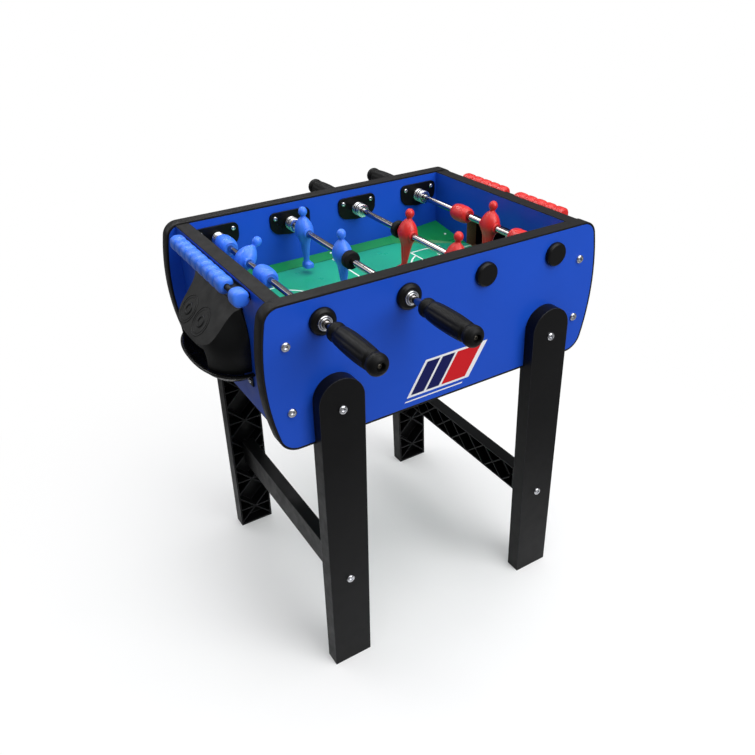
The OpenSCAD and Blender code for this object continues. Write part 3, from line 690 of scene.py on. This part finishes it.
SEAT = 193.0  # from the middle of the table to the bearing plates' faces, in mm
SPRING_END, SPRING_TURNS = 169.0, 4.6
SHORT_SPRING_END, SHORT_SPRING_TURNS = 175.5, 3.4
COIL_R, WIRE_R = 12.0, 1.15
WASHER_H, COIL_SUNK = 1.4, 0.1
WASHER = [(7.2, 0.0), (12.4, 0.0), (13.0, 0.3), (13.0, 1.1), (12.4, WASHER_H), (7.2, WASHER_H),
          (7.0, 0.7), (7.2, 0.0)]
START_ANGLE = 1.3  # how much further round each next spring's wire starts
for wall, sign in (("front", -1), ("rear", 1)):
    for number, (body, rod) in enumerate(RODS.items(), 1):
        end, turns = SPRING_END, SPRING_TURNS
        if wall == "rear" and body == "goal_rod_blue":
            end, turns = SHORT_SPRING_END, SHORT_SPRING_TURNS
        room = SEAT - end - WASHER_H
        spring = leaning(coil(room + COIL_SUNK, COIL_R, WIRE_R, turns),
                         math.degrees(number * START_ANGLE))
        washer = band(WASHER, 48)
        washer = [v + Vector((0, room, 0)) for v in washer[0]], washer[1]
        shape = set_at(joined([spring, washer]), (rod.origin.x, sign * SEAT * MM, rod.origin.z), -sign)
        make_piece(f"spring_{wall}_{number}", shape, "cabinet", "spring_steel",
                   replaces=[f"{wall}_springs"], crease=40)


# ---------- score beads ----------

RAIL_R, SLOT_HALF = 5.05, 1.9
BEAD_PITCH, BEAD_GAP, BEAD_R = 26.0, 0.4, 14.5
BEAD_LENGTH = BEAD_PITCH - BEAD_GAP
# The photo shows slimmer beads than the CAD nodes
BEAD_SHOWN_R, BEAD_POWER = 13.5, 2.5
BEAD_TAPER, END_POWER, CAPPED_END_POWER = 0.30, 4.6, 9
CAP_FACE_T = 5.0


def bead_edge(a):
    """Distance of a bead's rounded square outline from its axis, as a share of its half width."""
    return (abs(math.cos(a)) ** BEAD_POWER + abs(math.sin(a)) ** BEAD_POWER) ** (-1 / BEAD_POWER)


def bead(closed_at=None):
    """Squared barrel that snaps over a rail along Y, its slot towards +X, in mm.

    With closed_at 0 or 1 that end is a solid face instead of an open bore.
    """
    radius, length = BEAD_SHOWN_R, BEAD_LENGTH
    arc, steps = 60, 20
    outer_gap = math.asin(SLOT_HALF / radius)
    inner_gap = math.asin(SLOT_HALF / RAIL_R)
    size = arc + 1
    ring = 2 * size
    verts, faces = [], []
    for k in range(steps + 1):
        t = -math.cos(math.pi * k / steps)
        capped = closed_at is not None and (t > 0) == bool(closed_at)
        r = radius * (1 - BEAD_TAPER * abs(t) ** (CAPPED_END_POWER if capped else END_POWER))
        y = length * (t + 1) / 2
        depth = y
        if closed_at is not None:
            depth = min(y, length - CAP_FACE_T) if closed_at else max(y, CAP_FACE_T)
        for is_bore, gap in ((False, outer_gap), (True, inner_gap)):
            for j in range(size):
                a = gap + (2 * math.pi - 2 * gap) * j / arc
                edge = RAIL_R if is_bore else r * bead_edge(a)
                verts.append(Vector((edge * math.cos(a), depth if is_bore else y, edge * math.sin(a))))
    for i in range(steps):
        for k in range(arc):
            for start in (0, size):
                p = i * ring + start + k
                faces.append((p, p + 1, p + 1 + ring, p + ring))
        for k in (0, arc):
            p = i * ring + k
            faces.append((p, p + ring, p + ring + size, p + size))
    for i in (0, steps):
        if closed_at is not None and i == steps * closed_at:
            faces.append(tuple(i * ring + k for k in range(size)))
            faces.append(tuple(i * ring + size + k for k in range(size)))
            continue
        for k in range(arc):
            p = i * ring + k
            faces.append((p, p + 1, p + 1 + size, p + size))
    return verts, faces


rail_z = sum(v.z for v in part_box("scorer_rails")) / 2


def on_rail(shape, side, start):
    """A bead's shape on the left (-1) or right (1) rail, its low end at y = start."""
    low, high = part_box("left_beads" if side < 0 else "right_beads_waiting")
    rail_x = low.x + BEAD_R * MM if side < 0 else high.x - BEAD_R * MM
    return [Vector((rail_x - side * v.x * MM, start + v.y * MM, rail_z + v.z * MM))
            for v in shape[0]], shape[1]


for node, body in (("left_beads", "left_waiting"), ("right_beads_waiting", "right_waiting"),
                   ("right_beads_scored", "right_scored")):
    low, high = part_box(node)
    side = -1 if "left" in node else 1
    look = "player_blue" if side < 0 else "player_red"
    count = round((high.y - low.y + BEAD_GAP * MM) / (BEAD_PITCH * MM))
    for k in range(count):
        shape = on_rail(bead(), side, low.y + k * BEAD_PITCH * MM)
        make_piece(f"{node}_{k + 1}", shape, body, look, replaces=[node], crease=45)
for side, name in SIDES:
    low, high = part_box(f"{name}_rail_caps")
    look = "player_blue" if side < 0 else "player_red"
    for end, start in ((0, low.y), (1, high.y - BEAD_LENGTH * MM)):
        shape = on_rail(bead(closed_at=end), side, start)
        make_piece(f"{name}_rail_cap_{'rear' if end else 'front'}", shape, "cabinet", look,
                   replaces=[f"{name}_rail_caps"], crease=45)


# ---------- ball boxes ----------

END_OUT = abs(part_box("left_end_panel")[0].x) / MM
RIM_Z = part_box("left_ball_tray")[1].z / MM
HOOD_TOP, HOOD_LOW, LIP_Z = 700.0, RIM_Z + 0.6, 627.0
HOOD_OUT, HOOD_HALF, HOOD_WALL = 63.8, 107.0, 2.6
# The top is level for LEVEL mm from the panel, then falls SLOPE mm for each mm outwards
LEVEL, SLOPE = 4, 68.0 / 58.0
# Edge of the sloping face: share of the way round, half width, distance from the panel
CREASE = [(0.0, 0.0, 62.6), (0.2, 30.0, 62.0), (0.32, 52.0, 60.0), (0.42, 67.0, 56.0),
          (0.5, 76.0, 50.0), (0.62, 80.5, 39.0), (0.75, 82.0, 27.0), (0.86, 85.0, 16.0),
          (0.94, 91.0, 9.0), (1.0, 101.0, 4.0)]
CREASE_CURVE = np.array(spline(CREASE, 6))
# Below the crease, by share of the height: how far the wall has come out from the crease to the
# lower edge, and how much wider than the lower edge it is at the sides
WALL_OUT = ([0, 0.1, 0.25, 0.45, 0.62, 1], [0, 0.22, 0.52, 0.84, 1, 1])
WALL_SWELL = ([0, 0.258, 0.42, 0.617, 0.94, 1], [1.12, 1.12, 1.10, 1.056, 1, 1])
# Degrees to each side of the front that the mouth spans
MOUTH_ANGLE = 30
# Section of a tray from its middle out over the rim and back below: distance out, half width, z
TRAY = [(0, 0, 3), (22, 54, 3), (34, 70, 3.4), (45, 82, 6), (53, 92.5, 11), (59.5, 101, 18),
        (62.6, 107, 24.5), (63.6, 109.5, 27.4), (65.5, 112, 28), (68.6, 116, 28),
        (69.8, 117.8, 27.2), (70, 118, 25.8), (69.4, 117.2, 24.4), (67, 114, 24),
        (65.6, 111, 23.4), (62.6, 105.4, 17), (56, 95, 8.6), (47, 83, 2.8), (36, 71, 0.4),
        (24, 55, 0), (0, 0, 0)]
# Screw tabs of a box: half width, low z, high z, distance to each side of its middle
TABS = [(8, HOOD_TOP - 1, HOOD_TOP + 13.9, 45), (9, 563.2, 578.8, 98.5)]
TAB_OUT = 2.9
# Rings on the sloping face: radius and thickness of each, about the two middles at y = RINGS_AT
RINGS, RINGS_AT, RINGS_OUT = [(25.5, 1.1), (20.5, 0.8), (9.0, 2.6)], (45.0, -13.0), 43.0


def plan_point(out, half, degrees, power=2.3):
    """Point of a superellipse from the panel (90 or -90 degrees) round the front (0)."""
    a = math.radians(degrees)
    return (out * max(0.0, math.cos(a)) ** (2 / power), half * squared(math.sin(a), power))


def sheet(columns, skip=lambda i, k: False):
    """Vertices and faces over columns that all have the same number of points."""
    rows = len(columns[0])
    verts = [p for column in columns for p in column]
    faces = []
    for i in range(len(columns) - 1):
        for k in range(rows - 1):
            if not skip(i, k):
                p = i * rows + k
                faces.append((p, p + 1, p + 1 + rows, p + rows))
    return verts, faces


def crease_at(degrees):
    """Where the crease of the hood is: distance from the panel, y."""
    shares, half_widths, outs = CREASE_CURVE.T
    share = abs(degrees) / 90
    y = float(np.interp(share, shares, half_widths))
    return float(np.interp(share, shares, outs)), math.copysign(y, degrees) if degrees else 0.0


def slope_z(out):
    """Height of the sloping face at that distance from the panel, in mm."""
    return HOOD_TOP - (out - LEVEL) * SLOPE


def hood_shape():
    """Outer skin of a hood as (out, y, z) points in mm, from the panel down to its lower edge."""
    angles = [3 * k for k in range(-30, 31)]
    upper = [0.0, 0.03, 0.07, 0.12, 0.18, 0.26, 0.36, 0.5, 0.65, 0.82, 1.0]
    lower = [0.15, 0.35, 0.55, 0.78, 1.0]
    flat = 10
    columns = []
    for degrees in angles:
        out, y = crease_at(degrees)
        crease_z = slope_z(out)
        column = [(0.0, y, HOOD_TOP)]
        for k in range(flat):
            there = LEVEL + (out - LEVEL) * k / flat
            column.append((there, y, slope_z(there)))
        heights = [crease_z + (LIP_Z - crease_z) * t for t in upper]
        heights += [LIP_Z + (HOOD_LOW - LIP_Z) * t for t in lower]
        base_out, base_y = plan_point(HOOD_OUT, HOOD_HALF, degrees)
        for z in heights:
            down = (crease_z - z) / (crease_z - HOOD_LOW)
            share = float(np.interp(down, *WALL_OUT))
            swell = float(np.interp(down, *WALL_SWELL))
            swell = 1 + (swell - 1) * abs(math.sin(math.radians(degrees)))
            column.append((out + (base_out - out) * share, y + (base_y * swell - y) * share, z))
        columns.append(column)
    lip_row = flat + len(upper)

    def in_mouth(i, k):
        return k >= lip_row and max(abs(angles[i]), abs(angles[i + 1])) <= MOUTH_ANGLE

    return sheet(columns, in_mouth)


def tray_shape():
    """Bowl with a rolled rim as (out, y, z) points in mm."""
    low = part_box("left_ball_tray")[0].z / MM
    columns = [[plan_point(out, half, degrees) + (low + z,) for out, half, z in TRAY]
               for degrees in range(-90, 91, 3)]
    verts, faces = sheet(columns)
    rows = len(TRAY)
    faces.append(tuple(reversed(range(rows))))
    faces.append(tuple(range(len(verts) - rows, len(verts))))
    return verts, faces


def on_end(shape, side):
    """Points (out, y, z) in mm of a box on the left end, placed on the left (-1) or right (1)."""
    return [Vector((side * (END_OUT + out) * MM, -side * y * MM, z * MM))
            for out, y, z in shape[0]], shape[1]


def plate(low, high):
    """Box with its corners at low and high, as (out, y, z) points."""
    verts = list(itertools.product(*zip(low, high)))
    return verts, [(0, 1, 3, 2), (4, 6, 7, 5), (0, 4, 5, 1), (2, 3, 7, 6), (0, 2, 6, 4), (1, 5, 7, 3)]


def hood_ring(y, radius, thick):
    """Half-sunk ring on the sloping face, as (out, y, z) points."""
    unit = math.hypot(1, SLOPE)
    down = (1 / unit, -SLOPE / unit)
    outward = (SLOPE / unit, 1 / unit)
    columns = []
    for k in range(49):
        a = 2 * math.pi * k / 48
        column = []
        for j in range(9):
            b = 2 * math.pi * j / 8
            r = radius + thick * math.cos(b)
            lift = 0.6 * thick * math.sin(b)
            along = r * math.sin(a)
            column.append((RINGS_OUT + down[0] * along + outward[0] * lift, y + r * math.cos(a),
                           slope_z(RINGS_OUT) + down[1] * along + outward[1] * lift))
        columns.append(column)
    return sheet(columns)


for side, name in SIDES:
    hood = make_piece(f"{name}_hood_shell", on_end(hood_shape(), side), "cabinet", "black_box",
                      replaces=[f"{name}_ball_hood"], crease=28)
    if sum(p.normal.z * p.area for p in hood.data.polygons) < 0:
        hood.data.flip_normals()
    shell = hood.modifiers.new("wall", "SOLIDIFY")
    shell.thickness = HOOD_WALL * MM
    shell.offset = -1.0
    soften(hood, 2.2, 3, 34)
    make_piece(f"{name}_tray_bowl", on_end(tray_shape(), side), "cabinet", "black_bowl",
               replaces=[f"{name}_ball_tray"], crease=40)
    tabs = [plate((0, s * y - half, low), (TAB_OUT, s * y + half, high))
            for half, low, high, y in TABS for s in BOTH]
    make_piece(f"{name}_box_tabs", on_end(joined(tabs), side), "cabinet", "black_box", smooth=False)
    rings = [hood_ring(y, *ring) for y in RINGS_AT for ring in RINGS]
    make_piece(f"{name}_hood_rings", on_end(joined(rings), side), "cabinet", "black_box", crease=60)


# ---------- bearing screws ----------

EAR_X, EAR_Z = 31.8, 13.4
SCREW_R, SCREW_H = 4.4, 2.3
screws = []
for rod in RODS.values():
    for sign, ear in itertools.product(BOTH, repeat=2):
        at = (rod.origin.x + ear * EAR_X * MM, sign * SEAT * MM, rod.origin.z + EAR_Z * MM)
        screws.append(set_at(socket_head(SCREW_R, SCREW_H), at, sign))
make_piece("bearing_screw_heads", joined(screws), "cabinet", "bright_steel",
           replaces=["bearing_screws"], crease=30)


# ---------- pitch markings ----------

field_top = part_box("playfield")[1].z
field_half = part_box("playfield")[1].x / MM


def flat_line(points, width, closed=False):
    """Flat strip of that width along points, in mm."""
    points = [Vector(p) for p in points]
    count = len(points)
    verts, faces = [], []
    for k, p in enumerate(points):
        before = points[k - 1] if k or closed else p
        after = points[(k + 1) % count] if k < count - 1 or closed else p
        along = (after - before).normalized()
        side = Vector((-along.y, along.x)) * width / 2
        verts += [p + side, p - side]
    spans = count if closed else count - 1
    for k in range(spans):
        a, b = 2 * k, 2 * ((k + 1) % count)
        faces.append((a, a + 1, b + 1, b))
    return verts, faces


def arc_points(cx, radius, start, end, steps):
    """Points on a circle about (cx, 0), from start to end in degrees."""
    angles = [math.radians(start + (end - start) * k / steps) for k in range(steps + 1)]
    return [(cx + radius * math.cos(a), radius * math.sin(a)) for a in angles]


def raised(shape, lift):
    """Flat shape in mm, set lift mm above the playing board, in metres."""
    return [Vector((v.x * MM, v.y * MM, field_top + lift * MM)) for v in shape[0]], shape[1]


LINE_W, LINE_LIFT, GAP_SHADE_W, GAP_SHADE_LIFT = 3.4, 0.12, 1.3, 0.5
CIRCLE_R, SPOT_R, SPOT_W = 50, 2.5, 5.0
# Areas before a goal: x where the side lines start, x of the far line, its half length
AREAS = [(220, 148, 107), (field_half, 190, 70)]
ARC_AT, ARC_R, ARC_HALF = 203, 104, 57.5
RAMP_INNER, GAP_SHADE_HALF = 171.0, 205
HALFWAY = [(-RAMP_INNER, -CIRCLE_R), (2 - CIRCLE_R, CIRCLE_R - 2), (CIRCLE_R, RAMP_INNER)]
lines = [flat_line([(0, low), (0, high)], LINE_W) for low, high in HALFWAY]
lines.append(flat_line(arc_points(0, CIRCLE_R, 0, 355, 71), LINE_W, closed=True))
lines.append(flat_line(arc_points(0, SPOT_R, 0, 330, 11), SPOT_W, closed=True))
for s in BOTH:
    for start, x, half in AREAS:
        lines += [flat_line([(s * start, y), (s * x, y)], LINE_W) for y in (half, -half)]
        corner = half + LINE_W / 2
        lines.append(flat_line([(s * x, corner), (s * x, -corner)], LINE_W))
    facing = 0 if s < 0 else 180
    arc = arc_points(s * ARC_AT, ARC_R, facing - ARC_HALF, facing + ARC_HALF, 40)
    lines.append(flat_line(arc, LINE_W))
make_piece("pitch_lines", raised(joined(lines), LINE_LIFT), "cabinet", "pitch_line",
           smooth=False)
# Dark green strips along the ramps' inner edges: painted shade of the gap between each ramp and the
# board.
gap_shade_strips = [flat_line([(-GAP_SHADE_HALF, y), (GAP_SHADE_HALF, y)], GAP_SHADE_W) for y in (-RAMP_INNER, RAMP_INNER)]
make_piece("ramp_gap_shade", raised(joined(gap_shade_strips), GAP_SHADE_LIFT), "cabinet", "gap_shade_green",
           smooth=False)


# ---------- pins in the ramps ----------

PIN_R = 2.6
# x, y and z of each pin's foot, its height
PINS = [(sx * 257, sy * 138, 7.8, 2.2) for sx, sy in itertools.product(BOTH, repeat=2)]
PINS += [(s * 6, s * 190, 5.2, 2.0) for s in BOTH]


def dome(x, y, z, height):
    """Low dome about a vertical axis, in mm."""
    rings = []
    for k in range(7):
        a = math.pi / 2 * k / 6.3
        r = PIN_R * math.cos(a)
        rings.append([(x + r * math.cos(t * math.pi / 12), y + r * math.sin(t * math.pi / 12),
                       z + height * math.sin(a)) for t in range(24)])
    return skin(rings)


verts, faces = joined([dome(*pin) for pin in PINS])
make_piece("ramp_pins", ([Vector((x * MM, y * MM, field_top + z * MM)) for x, y, z in verts], faces),
           "cabinet", "pitch_line", crease=60)


# ---------- stripes on the front panel ----------

LEAN = 0.62
# Name, look, how far it stands off the panel, bars as (left, low, width, height), in mm
STRIPES = [
    ("back", "decal_white", 0.15, [(-80, 522, 128, 62), (-84, 514, 118, 2.4)]),
    ("navy", "decal_navy", 0.35, [(-72, 526, 26, 54), (-41, 526, 26, 54)]),
    ("red", "decal_red", 0.35, [(-10, 526, 50, 54)]),
]


def slanted(left, low, width, height, lift):
    """Leaning bar on the front panel from its low left corner, in metres."""
    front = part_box("front_side_panel")[0].y - lift * MM
    lean = LEAN * height
    corners = [(left, low), (left + width, low), (left + width + lean, low + height),
               (left + lean, low + height)]
    return [Vector((x * MM, front, z * MM)) for x, z in corners], [(0, 1, 2, 3)]


for name, look, lift, bars in STRIPES:
    make_piece(f"front_stripe_{name}", joined([slanted(*bar, lift) for bar in bars]), "cabinet",
               look, smooth=False)


# ---------- camera, light and floor ----------

LENS_MM, SENSOR_MM = 35.46, 36.0
CAMERA_AT = Vector((-0.6498, -1.0955, 1.1898))
CAMERA_FORWARD = Vector((0.43548, 0.73890, -0.51418))
CAMERA_UP = Vector((0.2892, 0.4261, 0.8572))
forward = CAMERA_FORWARD.normalized()
right = forward.cross(CAMERA_UP).normalized()
up = right.cross(forward)
camera_data = bpy.data.cameras.new("camera")
camera_data.lens = LENS_MM
camera_data.sensor_width = SENSOR_MM
camera = bpy.data.objects.new("camera", camera_data)
turned_to = Matrix((right, up, -forward)).transposed().to_4x4()
camera.matrix_world = Matrix.Translation(CAMERA_AT) @ turned_to
scene.collection.objects.link(camera)
scene.camera = camera
scene.view_settings.view_transform = "Standard"


# Name, place, the point it faces, width, height, watts
LIGHTS = [
    ("key", (1.1, -2.9, 2.5), (0, 0, 0.5), 2.7, 2.7, 92),
    ("overhead", (0.3, -0.2, 3.2), (0, 0, 0.6), 3.4, 3.4, 84),
    ("side_fill", (-1.95, 2.35, 1.75), (-0.3, 0, 0.65), 1.7, 1.2, 6.5),
    ("strip", (-0.3, 1.9, 2.4), (0, 0, 0.7), 2.4, 0.25, 14),
]
for name, at, aim, width, height, watts in LIGHTS:
    light = bpy.data.lights.new(name, "AREA")
    light.shape = "RECTANGLE"
    light.size, light.size_y = width, height
    light.energy = watts
    box = bpy.data.objects.new(name, light)
    box.location = at
    box.rotation_euler = (Vector(aim) - Vector(at)).to_track_quat("-Z", "Y").to_euler()
    scene.collection.objects.link(box)

# The object sees a dim room, darker below, and the camera sees a white page
ROOM_LOW, ROOM_HIGH, ROOM_STRENGTH = (0.20, 0.19, 0.18, 1), (0.66, 0.67, 0.70, 1), 0.5
WHITE = (1, 1, 1, 1)
world = bpy.data.worlds.new("studio")
scene.world = world
studio = NodeTree(world)
studio.tree.nodes.clear()
direction = studio.add("ShaderNodeTexCoord").outputs["Generated"]
upward = studio.add("ShaderNodeSeparateXYZ", {0: direction}).outputs[2]
fall = studio.add("ShaderNodeValToRGB", {0: upward})
for stop, position, colour in zip(fall.color_ramp.elements, (0.0, 0.6), (ROOM_LOW, ROOM_HIGH)):
    stop.position, stop.color = position, colour
room = studio.add("ShaderNodeBackground", {0: fall.outputs[0], 1: ROOM_STRENGTH}).outputs[0]
page = studio.add("ShaderNodeBackground", {0: WHITE, 1: 1.0}).outputs[0]
by_camera = studio.add("ShaderNodeLightPath").outputs["Is Camera Ray"]
background = studio.add("ShaderNodeMixShader", {0: by_camera, 1: room, 2: page}).outputs[0]
studio.add("ShaderNodeOutputWorld", {0: background})

# The floor fades to the white page away from the object, and throws less light back from there
FLOOR_HALF, FADE_RADIUS = 40.0, 1.15
BOUNCE_NEAR, BOUNCE_FAR, NEAR_RADIUS, FAR_RADIUS = 0.85, 0.22, 0.34, 0.78
paint = Shader("floor_white")
away = paint.add("ShaderNodeVectorMath", {0: paint.place}, operation="LENGTH").outputs["Value"]
seen = paint.add("ShaderNodeLightPath").outputs["Is Camera Ray"]
near_white = paint.span(paint.noise(2.0), 0.90, 0.92)
bounce = paint.span(away, BOUNCE_NEAR, BOUNCE_FAR, NEAR_RADIUS, FAR_RADIUS)
shade = paint.math("MAXIMUM", paint.math("MULTIPLY", near_white, seen), bounce)
grey = paint.add("ShaderNodeCombineColor", {0: shade, 1: shade, 2: shade}).outputs[0]
paint.final(Base_Color=grey, Roughness=0.9)
fade = paint.add("ShaderNodeMapRange", {"Value": away, "From Min": 0.0, "From Max": FADE_RADIUS},
                 interpolation_type="SMOOTHSTEP").outputs[0]
glow = paint.add("ShaderNodeEmission", {"Color": WHITE, "Strength": 1.0}).outputs[0]
surface = paint.add("ShaderNodeMixShader", {0: paint.math("MULTIPLY", fade, seen),
                                            1: paint.bsdf.outputs[0], 2: glow}).outputs[0]
paint.put(paint.tree.nodes["Material Output"].inputs[0], surface)
floor_mesh = bpy.data.meshes.new("floor")
floor_mesh.from_pydata([(x * FLOOR_HALF, y * FLOOR_HALF, 0) for x, y in
                        ((-1, -1), (1, -1), (1, 1), (-1, 1))], [], [(0, 1, 2, 3)])
floor_mesh.materials.append(paint.material)
floor = bpy.data.objects.new("floor", floor_mesh)
scene.collection.objects.link(floor)
